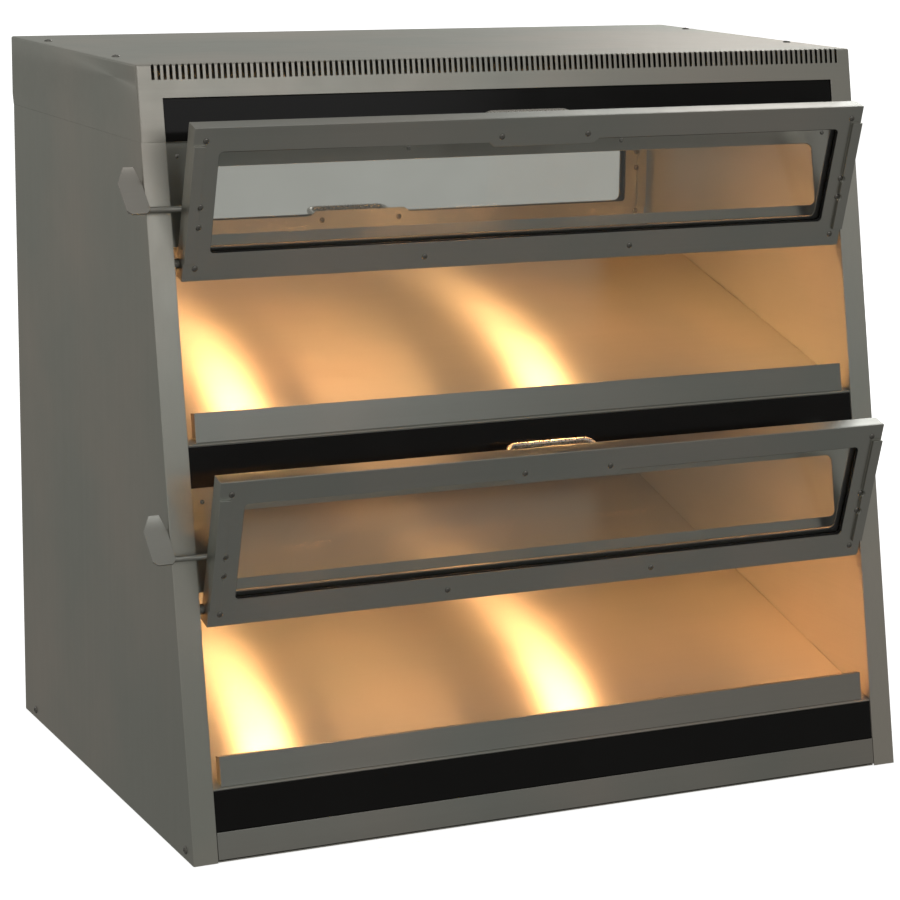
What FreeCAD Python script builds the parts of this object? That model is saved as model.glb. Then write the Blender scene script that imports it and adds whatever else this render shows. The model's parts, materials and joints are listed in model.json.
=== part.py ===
import FreeCAD, Part
import math
import os

# Two-tier heated holding cabinet with a front face that leans back and four flip doors.
# Millimetres. +Z up, front towards -Y, origin at the centre of the base underside.

# ---------------------------------------------------------------- driving dimensions
CAB_WIDTH = 914.0          # over the side panels
CAB_DEPTH = 628.0          # at the base
CAB_HEIGHT = 860.0
FRONT_LEAN = 11.06         # degrees that the front face leans back
SHELF_SLOPE = 15.0         # degrees that the shelves fall towards the front
TIER_PITCH = 372.0         # height from one tier to the next, on the front face
SKIN = 1.5                 # outer sheet
LINER = 1.2                # inner sheet
POST_WIDTH = 29.0          # front flange of a side panel
SEAM_Z = 777.0             # joint between the side panels and the top cap

BAND_TOP_Z = 823.7         # upper edge of the upper black glass
BAND_HEIGHT = 46.7
CEILING_RISE = 20.0        # ceiling above the lower edge of its black glass
SHELF_FRONT_Z = 451.5      # top of the upper shelf at the front face
LIP_TOP_Z = 486.0          # top of the upper shelf lip
LIP_SETBACK = 3.0
KICK_TOP_Z = 33.1
BAND_GLASS = 4.0
BAND_SETBACK = 1.5

TRANSOM_SETBACK = 7.0      # front of the fixed window frame, behind the front face
TRANSOM_BOTTOM_Z = 665.0   # upper tier
TRANSOM_WINDOW_HALF = 398.0
TRANSOM_WINDOW_Z = (677.0, 750.0)
WINDOW_RADIUS = 8.0

DOOR_WIDTH = 844.0
DOOR_HEIGHT = 178.0
DOOR_DEPTH = 20.0
DOOR_LEAN = 15.0           # degrees that an open front door leans forward of vertical
DOOR_FOOT_Z = 627.0        # lower front edge of the open upper front door
DOOR_WINDOW_HALF = 392.0
DOOR_WINDOW_U = (32.0, 150.0)
PIVOT_U = 16.0             # pivot from the hinge end of a door
PIVOT_W = 14.0             # pivot from the inner face of a door
PIN_RADIUS = 3.0
PIN_CLEARANCE = 0.05
DOOR_GLASS = 4.0
GASKET = 3.0               # thickness of the window seal
DOOR_EDGE_SCREWS_U = (15.0, 163.0)
DOOR_SCREW_INSET = 14.0    # screws from the ends of a door
DOOR_RAIL_SCREW = (132.0, 14.5)      # either side of the middle, and from the hinge end
LEVER_SCREWS_U = (63.5, 87.0)
REAR_STRIP_SCREWS_U = (85.0, 106.0)
STRIP_WIDTH = 13.0         # raised strip down each end of a door
STRIP_RISE = 4.0
STRIP_U = (22.0, 158.0)
TAB_HALF = 69.0            # half the length of the pull's backing tab
TAB_DROP = 6.0             # tab below the edge of the window
LEVER_U = 77.0             # side lever, from the hinge end
PADDLE_HALF = 13.4         # half the width of its paddle
PADDLE_LENGTH = 44.0       # to the bend
PADDLE_TIP = 18.0          # past the bend
PADDLE_BEND = 31.0
PADDLE_RAKE = 26.0         # degrees from the door
PADDLE_OUT = 14.2          # middle of the paddle outside the side panel
PULL_U = 156.0             # foot of the pull, from the hinge end
PULL_HALF = 54.5           # half the distance between the feet of a pull
PULL_REACH = 33.0          # how far a pull stands out of its door
PULL_LEAN = 8.0            # its lean, to the free end in front and to the hinge behind
REAR_DOOR_GAP = 0.8        # closed rear door above its shelf
REAR_DOOR_HEADROOM = 1.7   # above its hinge end, which rises 1.1 as the door swings

SLOT_PITCH = 7.0
SLOT_WIDTH = 3.3
SLOT_COUNT = 126
SLOT_BOTTOM_Z = 843.5

LAMP_X = 216.0             # each tier has a lamp this far either side of the middle
LAMP_BEHIND_FRONT = 85.0
LAMP_LENGTH = 100.0
LAMP_RADIUS = 5.0
LAMP_HEIGHT = 13.0         # lamp axis above the ceiling
TROUGH_HALF_LENGTH = 330.0
TROUGH_DEPTH = 34.0
TROUGH_MOUTH = 44.0        # half width at the ceiling
TROUGH_ROOF = 20.0         # half width at the top

SCREW_Z = 11.0             # side screws above the base
SIDE_SCREWS_Y = (268.0, -288.0)
CAP_SCREWS_Y = (222.0, -31.0)
CAP_SCREW_INSET = 17.0
SCREW_HOLE_RADIUS = 2.0
RIVETS_X = (-414.0, -137.0, 137.0, 414.0)
RIVET_RADIUS = 1.4
RIVET_ABOVE_WINDOW = 12.0

GLAND_X = 330.0
GLAND_Z = 110.0
GLAND_BORE_RADIUS = 5.5
GLAND_HOLE_RADIUS = 9.0

# ---------------------------------------------------------------- values worked out
LEAN = math.radians(FRONT_LEAN)
HALF = CAB_WIDTH / 2
INNER = HALF - POST_WIDTH               # inner face of the liner walls
FRONT_Y = -CAB_DEPTH / 2
REAR_Y = CAB_DEPTH / 2
BAND_BOTTOM_Z = BAND_TOP_Z - BAND_HEIGHT
SHEET_GAP = 0.4                         # between a sheet and the walls beside it
BEHIND_BAND = (BAND_SETBACK + BAND_GLASS, BAND_SETBACK + BAND_GLASS + SKIN)
TIERS = (("upper", 0.0), ("lower", -TIER_PITCH))


def front_y(z):
    """Depth of the front face at height z."""
    return FRONT_Y + z * math.tan(LEAN)


def along(z):
    """Distance up the front face to height z."""
    return z / math.cos(LEAN)


def shelf_z(y, drop):
    """Top of a shelf at depth y, for a tier lowered by drop."""
    front_z = SHELF_FRONT_Z + drop
    return front_z + (y - front_y(front_z)) * math.tan(math.radians(SHELF_SLOPE))


# ---------------------------------------------------------------- helpers
X_AXIS = FreeCAD.Vector(1, 0, 0)
Y_AXIS = FreeCAD.Vector(0, 1, 0)
Z_AXIS = FreeCAD.Vector(0, 0, 1)


def box(x, y, z):
    """Box from three (low, high) pairs."""
    corner = FreeCAD.Vector(x[0], y[0], z[0])
    return Part.makeBox(x[1] - x[0], y[1] - y[0], z[1] - z[0], corner)


def rod(start, end, radius):
    """Round bar between two points."""
    start = FreeCAD.Vector(*start)
    run = FreeCAD.Vector(*end) - start
    return Part.makeCylinder(radius, run.Length, start, run)


def prism(points, x):
    """Outline of (y, z) points drawn out along X from x[0] to x[1]."""
    corners = [FreeCAD.Vector(x[0], y, z) for y, z in points]
    face = Part.Face(Part.makePolygon(corners + corners[:1]))
    return face.extrude(FreeCAD.Vector(x[1] - x[0], 0, 0))


def rounded_plate(x, z, y, radius):
    """Plate in the XZ plane with rounded corners."""
    plate = box(x, y, z)
    upright = [e for e in plate.Edges if abs(e.tangentAt(e.FirstParameter).y) > 0.99]
    return plate.makeFillet(radius, upright)


def fuse(shapes):
    """One solid from touching pieces."""
    return shapes[0].multiFuse(shapes[1:]).removeSplitter()


def mirrored(shape):
    """The same piece on the other side of the cabinet."""
    return shape.mirror(FreeCAD.Vector(0, 0, 0), X_AXIS)


def on_front(shape):
    """Piece drawn as (x, inward, up the face), laid on the leaning front face."""
    placed = shape.copy()
    placed.rotate(FreeCAD.Vector(0, 0, 0), X_AXIS, -FRONT_LEAN)
    placed.translate(FreeCAD.Vector(0, FRONT_Y, 0))
    return placed


def on_shelf(shape, drop):
    """Piece drawn as (x, back along the shelf, above it), laid on a shelf."""
    front_z = SHELF_FRONT_Z + drop
    placed = shape.copy()
    placed.rotate(FreeCAD.Vector(0, 0, 0), X_AXIS, SHELF_SLOPE)
    placed.translate(FreeCAD.Vector(0, front_y(front_z), front_z))
    return placed


def screw(point, direction, head=4.5, shank=2.0, length=8.0):
    """Pan-head screw: the domed head stands on the surface at point."""
    rise = head * 0.45
    top = FreeCAD.Vector(0, 0, rise)
    rim = FreeCAD.Vector(head, 0, 0.3)
    foot = [FreeCAD.Vector(head, 0, 0), FreeCAD.Vector(shank, 0, 0),
            FreeCAD.Vector(shank, 0, -length), FreeCAD.Vector(0, 0, -length)]
    dome = Part.Arc(top, FreeCAD.Vector(head * 0.72, 0, rise * 0.62), rim).toShape()
    outline = Part.Wire([dome] + Part.makePolygon([rim] + foot + [top]).Edges)
    shape = Part.Face(outline).revolve(FreeCAD.Vector(0, 0, 0), Z_AXIS, 360)
    turn = FreeCAD.Rotation(Z_AXIS, FreeCAD.Vector(*direction))
    shape.Placement = FreeCAD.Placement(FreeCAD.Vector(*point), turn)
    return shape


def save(name, shape):
    shape.exportStep("parts/" + name + ".step")


# ---------------------------------------------------------------- outer casing
def side_outline(z, front_inset, rear_inset):
    """Side view of the casing between two heights, from its front face to its back."""
    return [(front_y(z[0]) + front_inset, z[0]), (REAR_Y - rear_inset, z[0]),
            (REAR_Y - rear_inset, z[1]), (front_y(z[1]) + front_inset, z[1])]


def side_panel():
    """Right side: flat sheet with a rounded front post and a rear flange."""
    post = on_front(box((INNER, HALF), (0, SKIN), (-20, along(CAB_HEIGHT))))
    post = post.common(box((0, HALF), (FRONT_Y - 9, REAR_Y), (-9, SEAM_Z + 9)))
    plate = prism(side_outline((-9, SEAM_Z + 9), 0, 0), (HALF - SKIN, HALF))
    rear = box((INNER, HALF), (REAR_Y - SKIN, REAR_Y), (-9, SEAM_Z + 9))
    panel = fuse([plate, post, rear])
    outer = [e for e in panel.Edges
             if e.Length > SEAM_Z * 0.9
             and abs(e.BoundBox.XMin - HALF) < 0.01
             and e.BoundBox.XLength < 0.01]
    panel = panel.makeFillet(SKIN * 0.9, outer)
    return panel.common(box((0, HALF + 1), (FRONT_Y - 9, REAR_Y + 1), (0, SEAM_Z)))


def top_cap():
    """Hood over the upper tier, with a row of vent slots along its front edge."""
    overhang = 4.0
    taper_z = SEAM_Z + 13
    outline = [(front_y(SEAM_Z), SEAM_Z), (REAR_Y, SEAM_Z), (REAR_Y + overhang, taper_z),
               (REAR_Y + overhang, CAB_HEIGHT), (front_y(CAB_HEIGHT), CAB_HEIGHT)]
    hood = prism(outline, (-HALF, HALF))
    bends = [e for e in hood.Edges
             if e.BoundBox.ZMin > CAB_HEIGHT - 0.01
             or (e.BoundBox.ZLength > 60 and e.BoundBox.YMax < 0)]
    hood = hood.makeFillet(2.5, bends)
    cos = math.cos(LEAN)
    inside = [(front_y(SEAM_Z - 5) + SKIN / cos, SEAM_Z - 5), (REAR_Y - SKIN, SEAM_Z - 5),
              (REAR_Y - SKIN, SEAM_Z), (REAR_Y + overhang - SKIN, taper_z),
              (REAR_Y + overhang - SKIN, CAB_HEIGHT - SKIN),
              (front_y(CAB_HEIGHT - SKIN) + SKIN / cos, CAB_HEIGHT - SKIN)]
    hood = hood.cut(prism(inside, (-HALF + SKIN, HALF - SKIN)))
    mouth = on_front(box((-INNER, INNER), (-5, 20), (along(SEAM_Z) - 20, along(BAND_TOP_Z))))
    first = -SLOT_PITCH * (SLOT_COUNT - 1) / 2
    slots = []
    for i in range(SLOT_COUNT):
        x = first + i * SLOT_PITCH
        slots.append(box((x - SLOT_WIDTH / 2, x + SLOT_WIDTH / 2), (-5, 6),
                         (along(SLOT_BOTTOM_Z), along(CAB_HEIGHT) + 4)))
    return hood.cut(mouth).cut(on_front(Part.makeCompound(slots)))


def base_pan():
    """Floor with upturned sides, which the lower side screws hold."""
    upturn = 30.0
    front_room, rear_room, post_room = 14.0, 10.0, 6.0
    floor = box((-HALF + SKIN, HALF - SKIN), (front_y(0) + 2, REAR_Y - SKIN), (0, SKIN))
    notch = box((INNER - 1, HALF), (FRONT_Y - 1, FRONT_Y + post_room), (-1, upturn))
    pieces = [floor.cut(notch).cut(mirrored(notch))]
    for side in (-1, 1):
        outer = side * (HALF - SKIN)
        inner = outer - side * SKIN
        pieces.append(box(sorted((inner, outer)), (FRONT_Y + front_room, REAR_Y - rear_room),
                          (0, upturn)))
    return fuse(pieces)


def kick_panel():
    """Grey strip under the lowest black glass, with a return top and bottom."""
    width = (-INNER + 0.5, INNER - 0.5)
    low, high = along(3.0), along(KICK_TOP_Z)
    face = box(width, (0, SKIN), (low, high))
    top = box(width, (0, 5), (high - SKIN, high))
    foot = box(width, (0, 6), (low, low + SKIN))
    return on_front(fuse([face, top, foot]))


def rear_panel(z):
    """Closed stretch of the back between two heights."""
    width = (-INNER + 0.5, INNER - 0.5)
    face = box(width, (REAR_Y - SKIN, REAR_Y), z)
    top = box(width, (REAR_Y - 12, REAR_Y), (z[1] - SKIN, z[1]))
    foot = box(width, (REAR_Y - 12, REAR_Y), (z[0], z[0] + SKIN))
    return fuse([face, top, foot])


def cable_gland():
    """Screwed gland in the lower back panel, with its clear bore."""
    def disc(radius, y, length):
        return Part.makeCylinder(radius, length, FreeCAD.Vector(GLAND_X, y, GLAND_Z), Y_AXIS)

    flange = disc(14, REAR_Y, 5)
    nose = disc(11, REAR_Y + 5, 16)
    neck = disc(GLAND_HOLE_RADIUS, REAR_Y - 16, 16)
    nut = disc(13, REAR_Y - SKIN - 4, 4)
    return fuse([flange, nose, neck, nut]).cut(disc(GLAND_BORE_RADIUS, REAR_Y - 30, 60))


# ---------------------------------------------------------------- inside
def inner_wall():
    """Right liner wall, from the base pan to the upper ceiling."""
    z = (SKIN, BAND_BOTTOM_Z + CEILING_RISE)
    wall = prism(side_outline(z, SKIN / math.cos(LEAN), SKIN), (INNER, INNER + LINER))
    return wall.cut(box((0, HALF), (FRONT_Y - 1, FRONT_Y + 8), (-1, SKIN + 1)))


def shelf(drop, lowest):
    """Sloping shelf. The lowest one also folds down behind the bottom black glass."""
    width = (-INNER + SHEET_GAP, INNER - SHEET_GAP)
    hem_drop, hem_inset, front_fold = 14.0, 5.0, 12.0
    length = (REAR_Y - SKIN - front_y(SHELF_FRONT_Z + drop)) / math.cos(math.radians(SHELF_SLOPE))
    deck = on_shelf(box(width, (SHEET_GAP, length - 3), (-SKIN, 0)), drop)
    back = shelf_z(REAR_Y - hem_inset - 3, drop)
    hem = box(width, (REAR_Y - hem_inset - SKIN, REAR_Y - hem_inset), (back - hem_drop, back))
    top = SHELF_FRONT_Z + drop
    if lowest:
        fold_foot = along(KICK_TOP_Z + 0.5)
    else:
        fold_foot = along(top - front_fold)
    fold = on_front(box(width, BEHIND_BAND, (fold_foot, along(top) + 2.2)))
    return fuse([deck, hem, fold])


def shelf_lip(drop):
    """Upright stop along the front of a shelf, hemmed at the top and folded at its ends."""
    half = INNER - 10.5
    hem, foot, end_fold, end_lift = 9.0, 16.0, 12.0, 6.0
    low, high = along(SHELF_FRONT_Z + 1.2 + drop), along(LIP_TOP_Z + drop)
    near, far = LIP_SETBACK, LIP_SETBACK + SKIN
    pieces = [on_front(box((-half, half), (near, far), (low, high))),
              on_front(box((-half, half), (near, near + hem), (high - SKIN, high))),
              on_shelf(box((-half, half), (LIP_SETBACK + 0.6, foot), (0, SKIN)), drop)]
    for side in (-1, 1):
        outer, inner = side * half, side * (half - SKIN)
        pieces.append(on_front(box(sorted((inner, outer)), (near, near + end_fold), (low + end_lift, high))))
    lip = fuse(pieces)
    below = on_shelf(box((-HALF, HALF), (-40, 60), (-30, 0)), drop)
    return lip.cut(below)


def ceiling_z(drop):
    """Underside of a tier's ceiling."""
    return BAND_BOTTOM_Z + CEILING_RISE + drop


def lamp_y(drop):
    """Depth of a tier's lamps."""
    return front_y(ceiling_z(drop)) + LAMP_BEHIND_FRONT


def trough_section(y, foot, top, inset):
    """Outline of a lamp trough, drawn in from its outer surface by inset."""
    mouth, roof = TROUGH_MOUTH - inset, TROUGH_ROOF - inset
    return [(y - mouth, foot), (y - roof, top), (y + roof, top), (y + mouth, foot)]


def ceiling(drop):
    """Roof of a tier, cut out for the lamps and turned up and down behind its black glass."""
    z = ceiling_z(drop)
    side = INNER + LINER if drop == 0 else INNER - SHEET_GAP
    roof = box((-side, side), (front_y(z) + 6.5, REAR_Y - 12.5), (z, z + LINER))
    y = lamp_y(drop)
    mouth = TROUGH_MOUTH + 1
    roof = roof.cut(box((-TROUGH_HALF_LENGTH, TROUGH_HALF_LENGTH), (y - mouth, y + mouth), (z - 1, z + 5)))
    low, high = along(BAND_BOTTOM_Z + drop), along(BAND_TOP_Z + drop - 0.5)
    if drop:
        high = along(SHELF_FRONT_Z + drop + TIER_PITCH - 14)
    fascia = on_front(box((-INNER + SHEET_GAP, INNER - SHEET_GAP), BEHIND_BAND, (low, high)))
    return fuse([roof, fascia])


def lamp_reflector(drop):
    """Polished trough that holds both lamps of a tier, with closed ends and a rim on the ceiling."""
    z = ceiling_z(drop)
    y = lamp_y(drop)
    half = TROUGH_HALF_LENGTH - 1
    sheet = 1.0
    rim_width = 10.0
    top = z + TROUGH_DEPTH
    outer = prism(trough_section(y, z, top, 0), (-half, half))
    inner = prism(trough_section(y, z - sheet, top - sheet, 0.6), (-half + sheet, half - sheet))
    rim = box((-half - rim_width, half + rim_width),
              (y - TROUGH_MOUTH - rim_width, y + TROUGH_MOUTH + rim_width), (z + LINER, z + 2 * LINER))
    clear = TROUGH_MOUTH - 4
    rim = rim.cut(box((-half + sheet, half - sheet), (y - clear, y + clear), (z, z + 9)))
    return outer.fuse(rim).cut(inner).removeSplitter()


def heat_lamps(drop):
    """Two tubular quartz lamps with pinched ends."""
    z = ceiling_z(drop) + LAMP_HEIGHT
    y = lamp_y(drop)
    lamps = []
    for side in (-1, 1):
        x = side * LAMP_X
        tube = rod((x - LAMP_LENGTH / 2, y, z), (x + LAMP_LENGTH / 2, y, z), LAMP_RADIUS)
        tube = tube.makeFillet(2.2, [e for e in tube.Edges if len(e.Vertexes) == 1])
        pieces = [tube]
        for end in (-1, 1):
            pinch = x + end * (LAMP_LENGTH / 2 + 3)
            pieces.append(box((pinch - 4, pinch + 4), (y - 4, y + 4), (z - 1.2, z + 1.2)))
        lamps.append(fuse(pieces))
    return Part.makeCompound(lamps)


def lamp_sockets():
    """Ceramic lampholders hung from the trough roofs, one at each end of each lamp."""
    sockets = []
    for _, drop in TIERS:
        z = ceiling_z(drop)
        y = lamp_y(drop)
        for side in (-1, 1):
            for end in (-1, 1):
                x = side * LAMP_X + end * (LAMP_LENGTH / 2 + 14)
                block = box((x - 7, x + 7), (y - 8, y + 8), (z + 5, z + TROUGH_DEPTH - 1))
                sockets.append(block.makeFillet(1.5, block.Edges))
    return Part.makeCompound(sockets)


def lamp_guards():
    """Wire guard under each lamp: two rails and a row of cross wires."""
    rail_radius = 1.8
    wire_radius = 1.2
    rail_from_lamp = 50.0
    wire_pitch = 16.0
    guards = []
    for _, drop in TIERS:
        z = ceiling_z(drop) - rail_radius
        y = lamp_y(drop)
        near, far = y - rail_from_lamp, y + rail_from_lamp
        wire_z = z - 0.6
        for side in (-1, 1):
            x = side * LAMP_X
            reach = LAMP_LENGTH / 2 + 24
            wires = [rod((x - reach, rail_y, z), (x + reach, rail_y, z), rail_radius)
                     for rail_y in (near, far)]
            for i in range(-4, 5):
                wire_x = x + i * wire_pitch
                wires.append(rod((wire_x, near, wire_z), (wire_x, far, wire_z), wire_radius))
            guards.append(fuse(wires))
    return Part.makeCompound(guards)


def control_board():
    """Control board on four posts behind the upper black glass: a relay block, two capacitors
    and a terminal strip stand on it."""
    low = along(ceiling_z(0)) + 8
    face, back = 15.0, 16.6
    pieces = [box((120, 300), (face, back), (low, low + 32))]
    for x in (128, 292):
        for s in (low + 4, low + 14):
            pieces.append(rod((x, 7, s), (x, face, s), 2.5))
    relay = box((140, 166), (back, 32), (low + 6, low + 28))
    capacitors = [box((x, x + 18), (back, 30), (low + 8, low + 26)) for x in (178, 204)]
    terminals = box((236, 280), (back, 26), (low + 8, low + 18))
    return on_front(fuse(pieces + [relay, terminals] + capacitors))


# ---------------------------------------------------------------- fixed front
def front_glass(bottom_z, top_z):
    """Black glass strip between the posts."""
    plate = box((-INNER + 0.5, INNER - 0.5), (BAND_SETBACK, BAND_SETBACK + BAND_GLASS),
                (along(bottom_z) + 0.5, along(top_z) - 0.5))
    return on_front(plate)


def transom_frame(drop):
    """Fixed window frame above a front door, with rounded window corners."""
    width = (-INNER + 0.5, INNER - 0.5)
    foot_fold, head_fold = 9.0, 16.0
    near, far = TRANSOM_SETBACK, TRANSOM_SETBACK + SKIN
    low = along(TRANSOM_BOTTOM_Z + drop)
    high = along(ceiling_z(drop) - 1) - 2
    face = box(width, (near, far), (low, high))
    window = rounded_plate((-TRANSOM_WINDOW_HALF, TRANSOM_WINDOW_HALF),
                           [along(z + drop) for z in TRANSOM_WINDOW_Z],
                           (near - 1, far + 1), WINDOW_RADIUS)
    pieces = [face.cut(window),
              box(width, (near, near + foot_fold), (low, low + SKIN)),
              box(width, (near, near + head_fold), (high - SKIN, high))]
    return on_front(fuse(pieces))


def transom_glass(drop):
    near = TRANSOM_SETBACK + SKIN
    pane = box((-TRANSOM_WINDOW_HALF - 10, TRANSOM_WINDOW_HALF + 10), (near, near + DOOR_GLASS),
               (along(TRANSOM_WINDOW_Z[0] + drop) - 6, along(TRANSOM_WINDOW_Z[1] + drop) + 10))
    return on_front(pane)


def rivet_spots():
    """(x, distance up the front face) of every rivet."""
    return [(x, along(TRANSOM_WINDOW_Z[1] + RIVET_ABOVE_WINDOW + drop))
            for _, drop in TIERS for x in RIVETS_X]


def transom_rivets():
    """Domed rivets along the upper rail of each fixed frame."""
    rivets = [screw((x, TRANSOM_SETBACK, s), (0, -1, 0), head=2.6, shank=RIVET_RADIUS, length=4)
              for x, s in rivet_spots()]
    return on_front(Part.makeCompound(rivets))


# ---------------------------------------------------------------- doors
# A door is drawn as (x, w, u): w runs from its inner face to its outer face and u from its
# hinge end to its free end. Closed, the outer face looks out of the cabinet.
def door_tray():
    """Outer sheet of a door with its four folded edges and the pin holes in its ends."""
    half = DOOR_WIDTH / 2
    tray = box((-half, half), (SKIN, DOOR_DEPTH), (0, DOOR_HEIGHT))
    tray = tray.makeFillet(1.2, [e for e in tray.Edges if e.BoundBox.YMin > DOOR_DEPTH - 0.01])
    hollow = box((-half + SKIN, half - SKIN), (0, DOOR_DEPTH - SKIN), (SKIN, DOOR_HEIGHT - SKIN))
    window = rounded_plate((-DOOR_WINDOW_HALF, DOOR_WINDOW_HALF), DOOR_WINDOW_U,
                           (DOOR_DEPTH - 5, DOOR_DEPTH + 1), WINDOW_RADIUS)
    hole = rod((-half - 1, PIVOT_W, PIVOT_U), (half + 1, PIVOT_W, PIVOT_U), PIN_RADIUS + PIN_CLEARANCE)
    return tray.cut(hollow).cut(window).cut(hole)


def door_retainer(strip_screws):
    """Inner sheet of a door: window, pull tab and a raised strip down each end, with room in it
    for the screws at strip_screws."""
    half = DOOR_WIDTH / 2
    screw_room = 4.6
    sheet = box((-half, half), (0, SKIN), (0, DOOR_HEIGHT))
    window = rounded_plate((-DOOR_WINDOW_HALF, DOOR_WINDOW_HALF), DOOR_WINDOW_U, (-1, SKIN + 1), 5)
    edge = DOOR_WINDOW_U[1]
    tab_outline = [(-TAB_HALF, edge + 2), (-TAB_HALF, edge - 1), (-TAB_HALF + TAB_DROP, edge - TAB_DROP),
                   (TAB_HALF - TAB_DROP, edge - TAB_DROP), (TAB_HALF, edge - 1), (TAB_HALF, edge + 2)]
    corners = [FreeCAD.Vector(x, 0, u) for x, u in tab_outline]
    tab = Part.Face(Part.makePolygon(corners + corners[:1])).extrude(FreeCAD.Vector(0, SKIN, 0))
    pieces = [sheet.cut(window), tab]
    for side in (-1, 1):
        strip = box(sorted((side * (half - STRIP_WIDTH), side * half)), (-STRIP_RISE, 0), STRIP_U)
        x = side * (half - DOOR_SCREW_INSET)
        for u in strip_screws:
            strip = strip.cut(rod((x, -STRIP_RISE - 1, u), (x, 1, u), screw_room))
        pieces.append(strip)
    return fuse(pieces)


def door_glass():
    near = SKIN + GASKET
    return box((-DOOR_WINDOW_HALF - 8, DOOR_WINDOW_HALF + 8), (near, near + DOOR_GLASS),
               (DOOR_WINDOW_U[0] - 7, DOOR_WINDOW_U[1] + 2))


def door_gasket():
    """Seal between the inner sheet and the glass, flush with the window."""
    outer = box((-DOOR_WINDOW_HALF - 8, DOOR_WINDOW_HALF + 8), (SKIN, SKIN + GASKET),
                (DOOR_WINDOW_U[0] - 7, DOOR_WINDOW_U[1] + 2))
    inner = rounded_plate((-DOOR_WINDOW_HALF + 0.8, DOOR_WINDOW_HALF - 0.8),
                          (DOOR_WINDOW_U[0] + 0.8, DOOR_WINDOW_U[1] - 0.8), (0, 9), 5)
    return outer.cut(inner)


def door_pull(lean):
    """Round-bar pull on the outer face, leaning by lean towards the free end."""
    radius = 3.5
    bend = 11.0
    collar_radius, collar = 6.5, 3.0
    half = PULL_HALF
    foot = FreeCAD.Vector(0, DOOR_DEPTH, PULL_U)
    out = FreeCAD.Vector(0, PULL_REACH, lean)
    reach = out.Length
    out.normalize()
    lift = 1 - math.sqrt(0.5)
    left = FreeCAD.Vector(-half, 0, 0)
    right = FreeCAD.Vector(half, 0, 0)
    corner = FreeCAD.Vector(bend, 0, 0)

    def at(side, distance, shift=0.0):
        return foot + side + out * distance + corner * shift

    path = Part.Wire([
        Part.LineSegment(at(left, 0), at(left, reach - bend)).toShape(),
        Part.Arc(at(left, reach - bend), at(left, reach - bend * lift, lift),
                 at(left, reach, 1)).toShape(),
        Part.LineSegment(at(left, reach, 1), at(right, reach, -1)).toShape(),
        Part.Arc(at(right, reach, -1), at(right, reach - bend * lift, -lift),
                 at(right, reach - bend)).toShape(),
        Part.LineSegment(at(right, reach - bend), at(right, 0)).toShape()])
    ring = Part.Wire([Part.makeCircle(radius, at(left, 0), out)])
    bar = path.makePipeShell([ring], True, True)
    feet = [Part.makeCylinder(collar_radius, collar, foot + side, Y_AXIS) for side in (left, right)]
    pull = fuse([bar] + feet)
    return pull.cut(box((-half - 20, half + 20), (0, DOOR_DEPTH), (PULL_U - 20, PULL_U + 20)))


def paddle():
    """Bent paddle of a side lever, lying along +Y from the foot of its blade."""
    thick, half, corner = 2.5, PADDLE_HALF, 5.0
    outline = [(-half, corner), (-half + corner, 0), (half - corner, 0), (half, corner),
               (half, PADDLE_LENGTH), (-half, PADDLE_LENGTH)]
    tip_outline = [(-half, 0), (half, 0), (half * 0.45, PADDLE_TIP), (-half * 0.45, PADDLE_TIP)]
    blade, tip = [Part.Face(Part.makePolygon([FreeCAD.Vector(x, y, 0) for x, y in points + points[:1]]))
                  .extrude(FreeCAD.Vector(0, 0, thick)) for points in (outline, tip_outline)]
    tip.rotate(FreeCAD.Vector(0, 0, thick), X_AXIS, PADDLE_BEND)
    tip.translate(FreeCAD.Vector(0, PADDLE_LENGTH, 0))
    fill = rod((-half, PADDLE_LENGTH, thick), (half, PADDLE_LENGTH, thick), thick * 0.98)
    fill = fill.common(box((-half, half), (PADDLE_LENGTH - 0.5, PADDLE_LENGTH + 6), (-1, thick)))
    return fuse([blade, fill, tip])


def door_lever():
    """Side lever: a bar across the post to a bent paddle outside the left side panel."""
    radius = 3.0
    w, u = DOOR_DEPTH + radius, LEVER_U
    edge = -DOOR_WIDTH / 2
    plate_half, plate_thick, below_bar = 18.0, 2.0, 9.0
    plate = box((edge + 2, edge + 24), (DOOR_DEPTH, DOOR_DEPTH + plate_thick),
                (u - plate_half, u + plate_half))
    bar = rod((edge + 22, w, u), (-HALF - PADDLE_OUT - PADDLE_HALF * 0.8, w, u), radius)
    blade = paddle()
    blade.translate(FreeCAD.Vector(0, -below_bar, radius - 0.2))
    blade.rotate(FreeCAD.Vector(0, 0, 0), X_AXIS, PADDLE_RAKE)
    blade.translate(FreeCAD.Vector(-HALF - PADDLE_OUT, w, u))
    return fuse([plate, bar, blade])


def door_screws(strip_screws):
    """Screws through the inner sheet: at the corners, the rail, the pull and the raised strips."""
    end = DOOR_WIDTH / 2 - DOOR_SCREW_INSET
    rail_x, rail_u = DOOR_RAIL_SCREW
    spots = []
    for side in (-1, 1):
        spots += [(side * end, u) for u in DOOR_EDGE_SCREWS_U + strip_screws]
        spots += [(side * rail_x, rail_u), (side * PULL_HALF, PULL_U)]
    return Part.makeCompound([screw((x, 0, u), (0, -1, 0), head=3.6, shank=1.6, length=5)
                              for x, u in spots])


def pivot_pins(centres):
    """Pins fixed in the liner walls, each with a spacing collar beside its door."""
    pins = []
    in_door, past_wall, side_play, collar_radius = 9.0, 10.0, 0.6, 6.0
    for y, z in centres:
        for side in (-1, 1):
            tip, root = side * (DOOR_WIDTH / 2 - in_door), side * (INNER + past_wall)
            collar = side * (DOOR_WIDTH / 2 + side_play)
            pin = rod((tip, y, z), (root, y, z), PIN_RADIUS)
            washer = rod((collar, y, z), (side * INNER, y, z), collar_radius)
            pins.append(fuse([pin, washer]))
    return pins


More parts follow.
